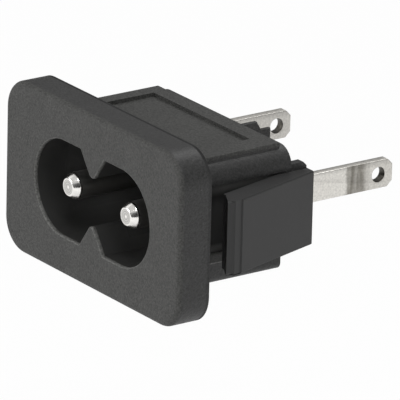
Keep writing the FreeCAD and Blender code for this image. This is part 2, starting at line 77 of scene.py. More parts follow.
# Borders on the housing: ends counted from the front face, the panel seat, the middle or a setting
SOFT_BORDER = (0.0, 0.1 * MM)
SOCKET_FLOOR_BORDER = (0.1 * MM, 0.2 * MM)
RIM_BORDER = (0.0, 0.08 * MM)
MOUTH_BORDER = (0.01 * MM, 0.04 * MM)
SEAT_BORDER = (-0.05 * MM, 0.05 * MM)
ARM_BORDER = (0.0, 0.2 * MM)
ARM_UNDERSIDE = (-3.2 * MM, -3.16 * MM)
FACE_BORDER = (0.3 * MM, 0.5 * MM)
PLATE_BORDER = (-0.03 * MM, 0.0)
BAY_FRONT = (0.1 * MM, 0.2 * MM)
BAY_SIDE = (-0.3 * MM, -0.2 * MM)
BAY_EDGE = (-0.1 * MM, -0.05 * MM)
LEDGE_BORDER = (0.02 * MM, 0.08 * MM)
# Where the painted dark reflection along the flange's rear edge lies
DARK_REFLECTION_START = (-0.36 * MM, -0.22 * MM)
DARK_REFLECTION_END = (-0.05 * MM, -0.02 * MM)
DARK_REFLECTION_HEIGHTS = (6.0 * MM, 7.4 * MM)
DARK_REFLECTION_STRENGTHS = (0.3, 0.9)

# Tones and shine of the housing, with painted light and shade in the socket and the side bays
# Painted light deep in the socket: lighter further from the front face
SOCKET_PAINTED_LIGHT_DEPTHS = (1.5 * MM, 8.0 * MM)
SOCKET_PAINTED_LIGHT_TONES = (0.5, 1.5)
# Painted light and shade on the side bays' walls: lighter under the eaves and at the foot, darker between
EAVES_PAINTED_LIGHT_HEIGHTS = (1.9 * MM, 2.6 * MM)
EAVES_PAINTED_LIGHT_TONES = (0.55, 2.9)
FOOT_PAINTED_LIGHT_HEIGHTS = (-3.2 * MM, -1.9 * MM)
FOOT_PAINTED_LIGHT_TONES = (4.0, 0.0)
SMOOTH_TO_SLEEK = (0.8, 0.06)
MOULDED_UNEVENNESS = 3.0
MOULDED_SPECKS = {"Spacing": 0.62 * MM, "Share": 0.2, "Reach": 0.17}
PALE_SPECK = 2.2
PALE_SPECK_SHARE = 0.7
MOULDED_SWING = 0.12
DULLING = 0.4
SHINE = 0.4
UNDERSIDE_SHINE = 0.02

# Finish of the contacts
TIP_DEPTH = (0.03 * MM, 0.06 * MM)
TIP_EDGE = (-0.16 * MM, -0.08 * MM)
TIP_MIDDLE = (0.09 * MM, 0.16 * MM)
SHAFT_START = (0.0, 0.3 * MM)
RING_PITCH = 0.07 * MM
WIDE_RING_PITCH = 0.2 * MM
WIDE_RING_SWING = 0.09
TIP_DARKENING = 0.4
SHAFT_PAINTED_SHADE = 0.63
NICKEL_GRAIN = {"Size": 0.22 * MM, "Unevenness": 0.25}
NICKEL_ROUGHNESS = 0.09
SHAFT_DULLING = 0.33
NICKEL_SWING = 0.14
RING_BUMP = {"Strength": 0.25, "Distance": 0.002 * MM}

# Finish of the terminals
TIN_GRAIN = {"Size": 0.2 * MM, "Unevenness": 0.8}
TIN_SPECKS = {"Spacing": 0.5 * MM, "Share": 0.3, "Reach": 0.2}
WANDER_NOISE = {"Scale": 1 / (0.9 * MM), "Detail": 4.0, "Roughness": 0.7}
WANDER_REACH = 0.7 * MM
BAND_RISE = (-0.15 * MM, 0.2 * MM)
BAND_FADE = (-1.3 * MM, 0.0)
BAND_LEVELS = (1.0, 0.2)
STREAK_STRETCH = (1.0, 1.0, 0.1)
STREAK_NOISE = {"Scale": 1 / (0.45 * MM), "Detail": 3.0}
STREAK_ENDS = (0.35, 0.62)
STREAK_LEVELS = (0.68, 1.0)
OUTER_SIDE = (-0.12 * MM, -0.02 * MM)
INNER_SIDE = (-0.7 * MM, -0.6 * MM)
INNER_PAINTED_SHADE = 0.25
DARK_SPECK = 0.5
DARK_SPECK_SHARE = 0.45
HOLE_WALL = (0.01 * MM, 0.06 * MM)
TIN_ROUGHNESS = 0.34
BAND_DULLING = 0.14
TIN_SWING = 0.1
TIN_BUMP = {"Strength": 0.5, "Distance": 0.004 * MM}

# Mesh work
MERGE_REACH = 0.0005 * MM
FLAT_ANGLE = math.radians(0.5)
SHEARED_ANGLE = math.radians(40)
SHEARED_STEPS = 3
TURNED_ANGLE = math.radians(50)
TURNED_EDGE = 0.07 * MM
CORNER_STEPS = 4
CORNER_REACH = 0.45
DIMPLE_FLOOR = 0.4
HEAD_SIDE = 0.45
HEAD_CROWN = 0.72

# Stage: lamps as name, place, size, power setting and whether shiny surfaces show them
LAMPS = (
    ("key_lamp", (-0.4, -0.75, 0.26), 0.5, "key_power", True),
    ("fill_lamp", (0.33, -0.207, 0.675), 0.3, "fill_power", True),
    ("top_lamp", (-0.24, 0.5, 0.73), 0.3, "top_power", True),
    ("near_lamp", (0.46, -0.328, 0.202), 0.16, "near_power", False),
)
WHITE = (1.0, 1.0, 1.0, 1.0)
FLOOR_HALF = 1.6
FLOOR_COLOUR = (0.9, 0.9, 0.9, 1.0)
FLOOR_WHITENESS = 0.93
SKY_RISE = (0.36, 0.7)
CARD_REACH = 0.3
DARK_CARD_TURN = math.radians(-4)
WHITE_CARD_TURN = math.radians(-76)
FRAME_PIXELS = 400
SENSOR = 36.0
CLIP_START = 0.01
CLIP_END = 20.0


def length_setting(name, description, millimetres):
    """A length, given in millimetres."""
    return FloatProperty(name=name, description=description, subtype="DISTANCE", default=millimetres * MM)


def angle_setting(name, description, degrees):
    """An angle, given in degrees."""
    return FloatProperty(name=name, description=description, subtype="ANGLE", default=math.radians(degrees))


def power_setting(name, description, watts):
    """A lamp's power."""
    return FloatProperty(name=name, description=description, subtype="POWER", default=watts)


def share_setting(name, description, share):
    """A value from nought to one."""
    return FloatProperty(name=name, description=description, min=0.0, max=1.0, default=share)


def colour_setting(name, description, colour):
    """A colour."""
    return FloatVectorProperty(
        name=name, description=description, subtype="COLOR", size=3, min=0.0, max=1.0, default=colour)


class HousingFinish(bpy.types.PropertyGroup):
    """What a user would change on the black moulding."""

    colour: colour_setting("Plastic", "Colour of the smooth plastic", (0.0262, 0.0262, 0.0258))
    arm_colour: colour_setting("Arms", "Colour of the sleek arms", (0.019, 0.019, 0.019))
    plate_colour: colour_setting("Plate finish", "Colour of the raised plate on top", (0.043, 0.043, 0.0408))
    # Painted dark reflection: a near-black line along the flange's rear edge, standing in for its rounded
    # edge mirroring dark surroundings, not a parting line.
    rear_edge_dark_reflection_colour: colour_setting(
        "Seam", "Colour of the mould's parting line round the flange", (0.006, 0.006, 0.006))
    textured_colour: colour_setting("Textured", "Colour of the textured flange", (0.038, 0.038, 0.036))
    roughness: share_setting("Roughness", "Roughness of the textured flange", 0.6)
    body_roughness: share_setting("Body roughness", "Roughness of the smoother body and arms", 0.46)
    grain: length_setting("Grain", "Size of the spark-eroded grain", 0.17)
    grain_depth: length_setting("Grain depth", "Depth of the grain", 0.07)
    socket: length_setting("Socket", "Radius round the poles where the smooth socket ends", 4.35)
    arm_start: length_setting("Arm side", "How far from the middle the smoother arms begin", 9.9)
    plate: length_setting("Plate", "Height over the middle at which the textured plate begins", 5.31)
    # Painted highlight: the rim round the socket's mouth is coloured lighter, standing in for light caught
    # by its rounded edge, not wear.
    rim: length_setting("Rim", "Depth of the worn edge round the socket's mouth", 0.33)
    mouth_highlight_colour: colour_setting(
        "Rim finish", "Colour of the worn edge round the socket's mouth", (0.088, 0.088, 0.084))
    socket_floor: length_setting("Socket floor", "Where the socket's floor lies, behind the panel seat", 7.9)
    bay_end: length_setting("Bay end", "Where the side bays end, behind the panel seat", 9.9)
    bay_half: length_setting("Bays", "From the middle to the floor of the side bays", 3.4)
    # Painted light: the socket is coloured lighter deeper in, standing in for light reaching its far walls.
    socket_painted_light_colour: colour_setting("Hollow", "Colour inside the socket", (0.045, 0.045, 0.0435))
    # Painted light and shade on the side bays' walls.
    bay_wall_painted_light_colour: colour_setting("Bay walls", "Colour of the side bays' walls", (0.034, 0.034, 0.033))
    # Painted light: the side bays' floor is coloured lighter, standing in for light reaching it, not dust.
    ledge_painted_light_colour: colour_setting("Ledges", "Colour of the dusty floor of the side bays", (0.15, 0.15, 0.145))


class ContactForm(bpy.types.PropertyGroup):
    """Sizes and colour of the turned contacts."""

    pin: length_setting("Pin", "Radius of the pin", 1.18)
    tip: length_setting("Tip", "Radius of the flat tip", 0.78)
    cone: length_setting("Cone", "Length of the coned end", 0.52)
    dimple: length_setting("Dimple", "Radius of the lathe mark in the tip", 0.26)
    dimple_depth: length_setting("Dimple depth", "Depth of the lathe mark", 0.02)
    root: length_setting("Root", "Radius in the socket's floor", 1.5)
    floor: length_setting("Floor", "Where the root starts, behind the panel seat", 7.9)
    rear: length_setting("Rear", "Where the tail starts, behind the panel seat", 10.5)
    tail: length_setting("Tail", "Radius of the tail in the terminal", 0.9)
    head: length_setting("Head", "Radius of the closed rivet head", 1.45)
    sheet: length_setting("Sheet", "Thickness of the sheet that the tail closes", 0.8)
    turns: IntProperty(name="Turns", description="Steps round a contact", min=24, max=256, default=96)
    colour: colour_setting("Nickel", "Colour of the nickel plate", (0.92, 0.905, 0.87))


class TerminalFinish(bpy.types.PropertyGroup):
    """Edges and colours of the stamped terminals."""

    edge: length_setting("Edge", "Rounding along the sheared edges", 0.07)
    colour: colour_setting("Tin", "Colour of the tin plate", (0.75, 0.73, 0.685))
    band_colour: colour_setting("Band", "Colour of the worn band across the tabs", (0.26, 0.245, 0.215))
    band_start: length_setting("Band start", "Where the band starts, behind the panel seat", 17.75)
    band_end: length_setting("Band end", "Where the band has faded, behind the panel seat", 20.4)
    hole_radius: length_setting("Hole", "Radius of the wire holes", 0.65)
    hole_end: length_setting("Hole place", "From the tabs' ends to the middle of the wire holes", 1.5)
    hole_rise: length_setting(
        "Hole height", "From the contacts' axis up to the middle of the wire holes", 0.45)
    # The wire holes' walls get a near-black colour, much darker than the tin.
    dark_hole_wall_colour: colour_setting(
        "Raw edge", "Colour of the punched walls of the wire holes", (0.085, 0.08, 0.07))


class StageSetup(bpy.types.PropertyGroup):
    """Camera, lamps and floor."""

    azimuth: angle_setting("Azimuth", "Camera's turn round the part", 54.464)
    elevation: angle_setting("Elevation", "Camera's height over the horizon", 19.611)
    roll: angle_setting("Roll", "Camera's roll", 1.416)
    distance: length_setting("Distance", "From the front face to the camera", 581.46)
    aim_right: length_setting(
        "Aim right", "Picture's middle, to the right of the front face's middle", 9.164)
    aim_up: length_setting("Aim up", "Picture's middle, above the front face's middle", 0.256)
    focal_pixels: FloatProperty(
        name="Focal length", description="Focal length in pixels of the square picture", default=6933.1)
    floor_drop: length_setting("Floor", "Floor below the flange", 26.0)
    dim_start: length_setting(
        "Dim start", "From the part to where the mirrored floor starts to brighten", 45.0)
    dim_end: length_setting("Dim end", "From the part to where the mirrored floor is white", 110.0)
    ambient: FloatProperty(name="Ambient", description="World light on matt surfaces", min=0.0, default=0.36)
    sky: share_setting("Sky", "World light low down, in shiny surfaces", 0.19)
    zenith: share_setting("Zenith", "World light overhead, in shiny surfaces", 0.6)
    key_power: power_setting("Key", "Front lamp", 3.5)
    fill_power: power_setting("Fill", "Lamp over the camera", 2.2)
    top_power: power_setting("Top", "Lamp high at the back", 1.5)
    near_power: power_setting("Near", "Weak lamp at the camera, for matt surfaces alone", 0.8)


def put(tree, value, socket):
    """Links an output to a socket, or sets the socket's own value."""
    if isinstance(value, bpy.types.NodeSocket):
        tree.links.new(value, socket)
    else:
        socket.default_value = value


def add_node(tree, kind, inputs=None, **settings):
    """Adds a node, sets it and fills its sockets with values or links."""
    made = tree.nodes.new(kind)
    for name, value in settings.items():
        setattr(made, name, value)
    for name, value in (inputs or {}).items():
        put(tree, value, made.inputs[name])
    return made


def maths(tree, operation, *values, clamp=False):
    """Adds a maths node and gives its output."""
    made = add_node(tree, "ShaderNodeMath", dict(enumerate(values)), operation=operation, use_clamp=clamp)
    return made.outputs[0]


def product(tree, *values):
    """Multiplies values and gives the output."""
    result = values[0]
    for value in values[1:]:
        result = maths(tree, "MULTIPLY", result, value)
    return result


def either(tree, first, second):
    """Gives the larger of two masks or levels."""
    return maths(tree, "MAXIMUM", first, second)


def without(tree, mask):
    """Gives the rest, which a mask leaves out."""
    return maths(tree, "SUBTRACT", 1.0, mask)


def distance(tree, across, up):
    """Gives the distance from an axis, out of the two offsets square to it."""
    squares = maths(tree, "ADD", maths(tree, "POWER", across, 2.0), maths(tree, "POWER", up, 2.0))
    return maths(tree, "SQRT", squares)


def ramp(tree, value, ends, levels=RISE, origin=0.0):
    """Maps a value softly between two ends, counted from an origin, to two levels."""
    made = add_node(
        tree, "ShaderNodeMapRange",
        {"Value": value, "From Min": origin + ends[0], "From Max": origin + ends[1],
         "To Min": levels[0], "To Max": levels[1]},
        interpolation_type="SMOOTHSTEP")
    return made.outputs["Result"]


def blend_value(tree, share, first, second):
    """Mixes two values and gives the output."""
    made = add_node(tree, "ShaderNodeMix", {0: share, 2: first, 3: second}, data_type="FLOAT")
    return made.outputs[0]


def blend_colour(tree, share, first, second, mode="MIX"):
    """Mixes two colours and gives the output."""
    made = add_node(tree, "ShaderNodeMix", {0: share}, data_type="RGBA", blend_type=mode)
    colour_inputs = [socket for socket in made.inputs if socket.type == "RGBA"]
    put(tree, first, colour_inputs[0])
    put(tree, second, colour_inputs[1])
    return next(socket for socket in made.outputs if socket.type == "RGBA")


def toned(tree, colour, tone):
    """Makes a colour lighter or darker by a tone."""
    return blend_colour(tree, 1.0, colour, tone, "MULTIPLY")


def opaque(colour, tone=1.0):
    """Gives a colour setting as four numbers, lighter or darker by a tone."""
    return (*(channel * tone for channel in colour), 1.0)


def object_place(tree):
    """Gives the place in the part's frame."""
    return add_node(tree, "ShaderNodeTexCoord").outputs["Object"]


def split(tree, place):
    """Gives the three coordinates of a place."""
    return add_node(tree, "ShaderNodeSeparateXYZ", {"Vector": place}).outputs


def noise(tree, place, settings, **others):
    """Adds a noise and gives its level."""
    return add_node(tree, "ShaderNodeTexNoise", {"Vector": place, **settings, **others}).outputs[0]


def new_group(name, kind, inputs, outputs):
    """Starts a node group with named sockets."""
    tree = bpy.data.node_groups.new(name, kind)
    for in_out, sockets in (("INPUT", inputs), ("OUTPUT", outputs)):
        for socket_name, socket_type in sockets.items():
            tree.interface.new_socket(socket_name, in_out=in_out, socket_type=socket_type)
    start = tree.nodes.new("NodeGroupInput")
    end = tree.nodes.new("NodeGroupOutput")
    return tree, start.outputs, end.inputs


def grain_group():
    """A fine random grain: a height for the bump and a tone that varies about one."""
    if "fine_grain" in bpy.data.node_groups:
        return bpy.data.node_groups["fine_grain"]
    tree, start, end = new_group(
        "fine_grain", "ShaderNodeTree",
        {"Size": "NodeSocketFloat", "Unevenness": "NodeSocketFloat"},
        {"Height": "NodeSocketFloat", "Tone": "NodeSocketFloat"})
    place = object_place(tree)
    pitch = maths(tree, "DIVIDE", 1.0, start["Size"])
    fine = noise(tree, place, FINE_NOISE, Scale=pitch)
    cloud = noise(tree, place, CLOUD_NOISE, Scale=product(tree, pitch, CLOUD_PITCH))
    pits = add_node(tree, "ShaderNodeTexVoronoi",
                    {"Vector": place, "Scale": product(tree, pitch, PIT_PITCH)},
                    feature="SMOOTH_F1").outputs["Distance"]
    height = blend_value(tree, PIT_SHARE, fine, pits)
    spread = blend_value(tree, CLOUD_SHARE, fine, cloud)
    offset = product(tree, maths(tree, "SUBTRACT", spread, NOISE_MIDDLE), start["Unevenness"])
    put(tree, height, end["Height"])
    put(tree, maths(tree, "ADD", offset, 1.0), end["Tone"])
    return tree


def specks_group():
    """Sparse small specks as a mask."""
    if "specks" in bpy.data.node_groups:
        return bpy.data.node_groups["specks"]
    tree, start, end = new_group(
        "specks", "ShaderNodeTree",
        {"Spacing": "NodeSocketFloat", "Share": "NodeSocketFloat", "Reach": "NodeSocketFloat"},
        {"Mask": "NodeSocketFloat"})
    pitch = maths(tree, "DIVIDE", 1.0, start["Spacing"])
    cells = add_node(tree, "ShaderNodeTexVoronoi", {"Vector": object_place(tree), "Scale": pitch}).outputs
    chance = add_node(tree, "ShaderNodeSeparateColor", {"Color": cells["Color"]}).outputs[0]
    chosen = maths(tree, "LESS_THAN", chance, start["Share"])
    away = maths(tree, "DIVIDE", cells["Distance"], start["Reach"])
    near = maths(tree, "SUBTRACT", 1.0, away, clamp=True)
    put(tree, product(tree, chosen, near), end["Mask"])
    return tree


def use_group(tree, group, settings):
    """Places a group in a material and gives its outputs."""
    made = tree.nodes.new("ShaderNodeGroup")
    made.node_tree = group
    for name, value in settings.items():
        made.inputs[name].default_value = value
    return made.outputs


def new_material(name):
    """Starts a material and gives it with its tree and the shader's inputs."""
    material = bpy.data.materials.new(name)
    material.use_nodes = True
    tree = material.node_tree
    shader = next(node for node in tree.nodes if node.type == "BSDF_PRINCIPLED")
    return material, tree, shader.inputs


def add_bump(tree, shader, height, settings):
    """Gives a shader a bump."""
    bump = add_node(tree, "ShaderNodeBump", {"Height": height, **settings})
    put(tree, bump.outputs["Normal"], shader["Normal"])


def housing_masks(tree, finish, axes):
    """Masks of the housing's surfaces, told apart by their place."""
    front = HOUSING_BOX[0].y
    depth = axes["Y"]
    width = maths(tree, "ABSOLUTE", axes["X"])
    height = maths(tree, "ABSOLUTE", axes["Z"])
    past_pole = maths(tree, "MAXIMUM", maths(tree, "SUBTRACT", width, POLE), 0.0)
    from_pole = distance(tree, past_pole, height)

    before_floor = ramp(tree, depth, SOCKET_FLOOR_BORDER, FALL, finish.socket_floor)
    within = ramp(tree, from_pole, SOFT_BORDER, FALL, finish.socket)
    past_rim = ramp(tree, depth, RIM_BORDER, RISE, front + finish.rim)
    off_face = ramp(tree, depth, MOUTH_BORDER, RISE, front)
    socket = product(tree, past_rim, before_floor, within)
    # Painted highlight: the mouth's rim is coloured lighter, standing in for light caught by its rounded
    # edge
    mouth = product(tree, within, off_face, without(tree, past_rim))

    behind = ramp(tree, depth, SEAT_BORDER)
    arm = product(tree, ramp(tree, width, ARM_BORDER, RISE, finish.arm_start), behind)
    under = product(tree, arm, ramp(tree, axes["Z"], ARM_UNDERSIDE, FALL))
    sleek = either(tree, arm, socket)
    face = ramp(tree, depth, FACE_BORDER, FALL, front)
    plate = product(tree, ramp(tree, height, PLATE_BORDER, RISE, finish.plate), behind)
    eroded = product(tree, either(tree, face, plate), without(tree, socket))

    before_bay_end = ramp(tree, depth, SOFT_BORDER, FALL, finish.bay_end)
    bay_depth = product(tree, ramp(tree, depth, BAY_FRONT), before_bay_end)
    beside = ramp(tree, width, BAY_SIDE, FALL, finish.arm_start)
    bay = product(tree, bay_depth, beside, ramp(tree, height, BAY_EDGE, FALL, finish.bay_half))
    # Painted light: the side bays' floor is coloured lighter, standing in for light that reaches it
    off_floor = maths(tree, "ABSOLUTE", maths(tree, "ADD", axes["Z"], finish.bay_half))
    painted_ledge_light = product(tree, bay_depth, without(tree, sleek), ramp(tree, off_floor, LEDGE_BORDER, FALL))

    # Painted dark reflection: a dark line along the flange's rear edge, standing in for its rounded edge
    # mirroring dark surroundings
    near_seat = product(tree, ramp(tree, depth, DARK_REFLECTION_START), ramp(tree, depth, DARK_REFLECTION_END, FALL))
    rear_edge_dark_reflection = product(tree, near_seat, without(tree, socket), ramp(tree, height, DARK_REFLECTION_HEIGHTS, DARK_REFLECTION_STRENGTHS))
    smooth = ramp(tree, either(tree, sleek, bay), MASK_RANGE, SMOOTH_TO_SLEEK)
    return {
        "socket": socket, "mouth": mouth, "arm": arm, "under": under, "plate": plate, "eroded": eroded,
        "bay": bay, "painted_ledge_light": painted_ledge_light, "rear_edge_dark_reflection": rear_edge_dark_reflection, "texture": either(tree, eroded, smooth),
    }


def housing_colour(tree, finish, axes, masks, grain_tone):
    """The housing's colour: one finish or painted light and shade over another by place, varied by the
    grain.
    """
    # Painted light: the socket grows lighter deeper in, standing in for light reaching its far walls
    socket_painted_light = ramp(tree, axes["Y"], SOCKET_PAINTED_LIGHT_DEPTHS, SOCKET_PAINTED_LIGHT_TONES, HOUSING_BOX[0].y)
    # Painted light and shade on the bays' walls: lighter under the eaves and at the foot, darker between
    eaves_painted_light = ramp(tree, axes["Z"], EAVES_PAINTED_LIGHT_HEIGHTS, EAVES_PAINTED_LIGHT_TONES)
    foot_painted_light = ramp(tree, axes["Z"], FOOT_PAINTED_LIGHT_HEIGHTS, FOOT_PAINTED_LIGHT_TONES)
    coarse = blend_colour(tree, masks["plate"], opaque(finish.textured_colour), opaque(finish.plate_colour))
    layers = (
        ("arm", opaque(finish.arm_colour)),
        ("bay", toned(tree, opaque(finish.bay_wall_painted_light_colour), either(tree, eaves_painted_light, foot_painted_light))),
        ("socket", toned(tree, opaque(finish.socket_painted_light_colour), socket_painted_light)),
        ("painted_ledge_light", opaque(finish.ledge_painted_light_colour)),
        ("eroded", coarse),
        ("mouth", opaque(finish.mouth_highlight_colour)),
        ("rear_edge_dark_reflection", opaque(finish.rear_edge_dark_reflection_colour)),
    )
    colour = opaque(finish.colour)
    for name, layer in layers:
        colour = blend_colour(tree, masks[name], colour, layer)
    swing = product(tree, maths(tree, "SUBTRACT", grain_tone, 1.0), masks["texture"])
    return toned(tree, colour, maths(tree, "ADD", 1.0, swing))


def black_moulding(finish):
    """Black plastic: spark-eroded front and plate with pale specks, smoother sides, sleek arms, and painted
    light and shade in the socket, the bays, the mouth's rim and along the flange's rear edge.
    """
    material, tree, shader = new_material("black_moulding")
    grain = use_group(tree, grain_group(), {"Size": finish.grain, "Unevenness": MOULDED_UNEVENNESS})
    specks = use_group(tree, specks_group(), MOULDED_SPECKS)
    axes = split(tree, object_place(tree))
    masks = housing_masks(tree, finish, axes)
    base = housing_colour(tree, finish, axes, masks, grain["Tone"])
    speck_share = product(tree, specks["Mask"], masks["texture"], PALE_SPECK_SHARE)
    pale = opaque(finish.textured_colour, PALE_SPECK)
    put(tree, blend_colour(tree, speck_share, base, pale), shader["Base Color"])

    half_swing = MOULDED_SWING / 2
    level = blend_value(
        tree, masks["eroded"], finish.body_roughness - half_swing, finish.roughness - half_swing)
    dulled = maths(tree, "MULTIPLY_ADD", either(tree, masks["rear_edge_dark_reflection"], masks["bay"]), DULLING, level)
    put(tree, maths(tree, "MULTIPLY_ADD", grain["Height"], MOULDED_SWING, dulled), shader["Roughness"])
    shine = maths(tree, "MULTIPLY_ADD", masks["under"], UNDERSIDE_SHINE - SHINE, SHINE)
    put(tree, shine, shader["Specular IOR Level"])
    add_bump(tree, shader, product(tree, grain["Height"], masks["texture"]),
             {"Strength": 1.0, "Distance": finish.grain_depth})
    return material


def bright_nickel(form):
    """Bright nickel over turned brass, with fine rings round each contact's axis and painted shade on the
    shafts.
    """
    material, tree, shader = new_material("bright_nickel")
    grain = use_group(tree, grain_group(), NICKEL_GRAIN)
    axes = split(tree, object_place(tree))
    front = CONTACT_BOX[0].y
    across = maths(tree, "SUBTRACT", maths(tree, "ABSOLUTE", axes["X"]), POLE)
    radius = distance(tree, across, axes["Z"])
    flat = product(tree, ramp(tree, axes["Y"], TIP_DEPTH, FALL, front),
                   ramp(tree, radius, TIP_EDGE, FALL, form.tip), ramp(tree, radius, TIP_MIDDLE))
    behind_cone = ramp(tree, axes["Y"], SHAFT_START, RISE, front + form.cone)
    shaft = product(tree, behind_cone, ramp(tree, axes["Y"], SOCKET_FLOOR_BORDER, FALL, form.floor))
    wide_rings = maths(tree, "SINE", product(tree, radius, 2 * math.pi / WIDE_RING_PITCH))
    tip_wear = product(tree, flat, maths(tree, "MULTIPLY_ADD", wide_rings, WIDE_RING_SWING, TIP_DARKENING))
    # Painted shade on the shafts, standing in for their reflection of the black socket, added to the tip's
    # ringed wear
    worn = maths(tree, "MULTIPLY_ADD", shaft, SHAFT_PAINTED_SHADE, tip_wear)
    tone = product(tree, grain["Tone"], without(tree, worn))
    put(tree, toned(tree, opaque(form.colour), tone), shader["Base Color"])
    put(tree, 1.0, shader["Metallic"])

    level = maths(tree, "MULTIPLY_ADD", shaft, SHAFT_DULLING, NICKEL_ROUGHNESS)
    put(tree, maths(tree, "MULTIPLY_ADD", grain["Height"], NICKEL_SWING, level), shader["Roughness"])
    along = maths(tree, "ADD", radius, axes["Y"])
    rings = maths(tree, "SINE", product(tree, along, 2 * math.pi / RING_PITCH))
    add_bump(tree, shader, rings, RING_BUMP)
    return material


def worn_band(tree, finish, place, axes, from_middle):
    """A streaky worn band across the outer side of each tab, as a mask."""
    wander = maths(tree, "SUBTRACT", noise(tree, place, WANDER_NOISE), NOISE_MIDDLE)
    along = maths(tree, "MULTIPLY_ADD", wander, WANDER_REACH, axes["Y"])
    start = ramp(tree, along, BAND_RISE, RISE, finish.band_start)
    fade = ramp(tree, along, BAND_FADE, BAND_LEVELS, finish.band_end)
    outer = ramp(tree, from_middle, OUTER_SIDE, RISE, TERMINAL_BOX[1].x)
    drawn_out = add_node(tree, "ShaderNodeVectorMath", {0: place, 1: STREAK_STRETCH}, operation="MULTIPLY")
    streaks = noise(tree, drawn_out.outputs["Vector"], STREAK_NOISE)
    return product(tree, start, fade, outer, ramp(tree, streaks, STREAK_ENDS, STREAK_LEVELS))


def matt_tin(finish):
    """Matt tin over stamped brass, with a worn band across the outer side of each tab and painted shade on
    the inner sides.
    """
    material, tree, shader = new_material("matt_tin")
    grain = use_group(tree, grain_group(), TIN_GRAIN)
    specks = use_group(tree, specks_group(), TIN_SPECKS)
    place = object_place(tree)
    axes = split(tree, place)
    from_middle = maths(tree, "ABSOLUTE", axes["X"])
    band = worn_band(tree, finish, place, axes, from_middle)
    # Painted shade: the inner sides of the tabs are darkened where less light falls
    inner = ramp(tree, from_middle, INNER_SIDE, FALL, TERMINAL_BOX[1].x)
    tone = product(tree, grain["Tone"], maths(tree, "MULTIPLY_ADD", inner, -INNER_PAINTED_SHADE, 1.0))
    plain = toned(tree, opaque(finish.colour), tone)
    dull = toned(tree, opaque(finish.band_colour), grain["Tone"])
    worn = blend_colour(tree, band, plain, dull)
    speck_share = product(tree, specks["Mask"], DARK_SPECK_SHARE)
    spotted = blend_colour(tree, speck_share, worn, opaque(finish.colour, DARK_SPECK))
    # The wire holes' walls are coloured near-black
    past_hole = maths(tree, "SUBTRACT", axes["Y"], TERMINAL_BOX[1].y - finish.hole_end)
    over_hole = maths(tree, "SUBTRACT", axes["Z"], finish.hole_rise)
    dark_hole_wall = ramp(tree, distance(tree, past_hole, over_hole), HOLE_WALL, FALL, finish.hole_radius)
    put(tree, blend_colour(tree, dark_hole_wall, spotted, opaque(finish.dark_hole_wall_colour)), shader["Base Color"])
    put(tree, 1.0, shader["Metallic"])

    level = maths(tree, "MULTIPLY_ADD", band, BAND_DULLING, TIN_ROUGHNESS)
    put(tree, maths(tree, "MULTIPLY_ADD", grain["Height"], TIN_SWING, level), shader["Roughness"])
    add_bump(tree, shader, grain["Height"], TIN_BUMP)
    return material


def new_piece(name, mesh):
    """Links a new object that carries a mesh."""
    piece = bpy.data.objects.new(name, mesh)
    bpy.context.scene.collection.objects.link(piece)
    return piece


def merged_copy(node, name):
    """Copies a node's mesh with its loose triangles joined and its flat faces made whole."""
    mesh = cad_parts[node].data.copy()
    mesh.name = name
    shape = bmesh.new()
    shape.from_mesh(mesh)
    bmesh.ops.remove_doubles(shape, verts=shape.verts, dist=MERGE_REACH)
    bmesh.ops.dissolve_limit(shape, angle_limit=FLAT_ANGLE, verts=shape.verts, edges=shape.edges)
    bmesh.ops.recalc_face_normals(shape, faces=shape.faces)
    shape.to_mesh(mesh)
    shape.free()
    mesh.materials.clear()
    return mesh


def round_edges(piece, width):
    """Rounds the sheared edges of a piece and keeps the result as its plain mesh."""
    edge = piece.modifiers.new("sheared_edge", "BEVEL")
    edge.width = width
    edge.segments = SHEARED_STEPS
    edge.limit_method = "ANGLE"
    edge.angle_limit = SHEARED_ANGLE
    graph = bpy.context.evaluated_depsgraph_get()
    mesh = bpy.data.meshes.new_from_object(piece.evaluated_get(graph), depsgraph=graph)
    piece.modifiers.remove(edge)
    piece.data = mesh
    mesh.shade_smooth()
    mesh.set_sharp_from_angle(angle=SHEARED_ANGLE)


def bake_nodes(piece, tree, inputs):
    """Runs a node tree on a piece and keeps the result as its plain mesh."""
    modifier = piece.modifiers.new(tree.name, "NODES")
    modifier.node_group = tree
    for item in tree.interface.items_tree:
        if item.item_type == "SOCKET" and item.in_out == "INPUT" and item.name in inputs:
            modifier[item.identifier] = inputs[item.name]
    bpy.context.view_layer.update()
    graph = bpy.context.evaluated_depsgraph_get()
    mesh = bpy.data.meshes.new_from_object(
        piece.evaluated_get(graph), preserve_all_data_layers=True, depsgraph=graph)
    piece.modifiers.remove(modifier)
    piece.data = mesh
    mesh.name = piece.name
    if not mesh.polygons:
        raise RuntimeError(f"{piece.name} came out empty")


def close_tree(tree, geometry, start, end):
    """Makes a tree's copies real, gives them their finish and sends them out."""
    solid = add_node(tree, "GeometryNodeRealizeInstances", {"Geometry": geometry}).outputs["Geometry"]
    finished = add_node(tree, "GeometryNodeSetMaterial", {"Geometry": solid, "Material": start["Finish"]})
    put(tree, finished.outputs["Geometry"], end["Geometry"])


def pole_pair_tree():
    """A tree that sets two copies of a turned blank at the poles."""
    tree, start, end = new_group(
        "pole_pair", "GeometryNodeTree",
        {"Geometry": "NodeSocketGeometry", "Pitch": "NodeSocketFloat", "Finish": "NodeSocketMaterial"},
        {"Geometry": "NodeSocketGeometry"})
    half_back = maths(tree, "MULTIPLY", start["Pitch"], -0.5)
    first = add_node(tree, "ShaderNodeCombineXYZ", {"X": half_back}).outputs[0]
    step = add_node(tree, "ShaderNodeCombineXYZ", {"X": start["Pitch"]}).outputs[0]
    poles = add_node(tree, "GeometryNodeMeshLine", {"Count": 2, "Start Location": first, "Offset": step},
                     mode="OFFSET", count_mode="TOTAL").outputs["Mesh"]
    copies = add_node(tree, "GeometryNodeInstanceOnPoints", {"Points": poles, "Instance": start["Geometry"]})
    close_tree(tree, copies.outputs["Instances"], start, end)
    return tree


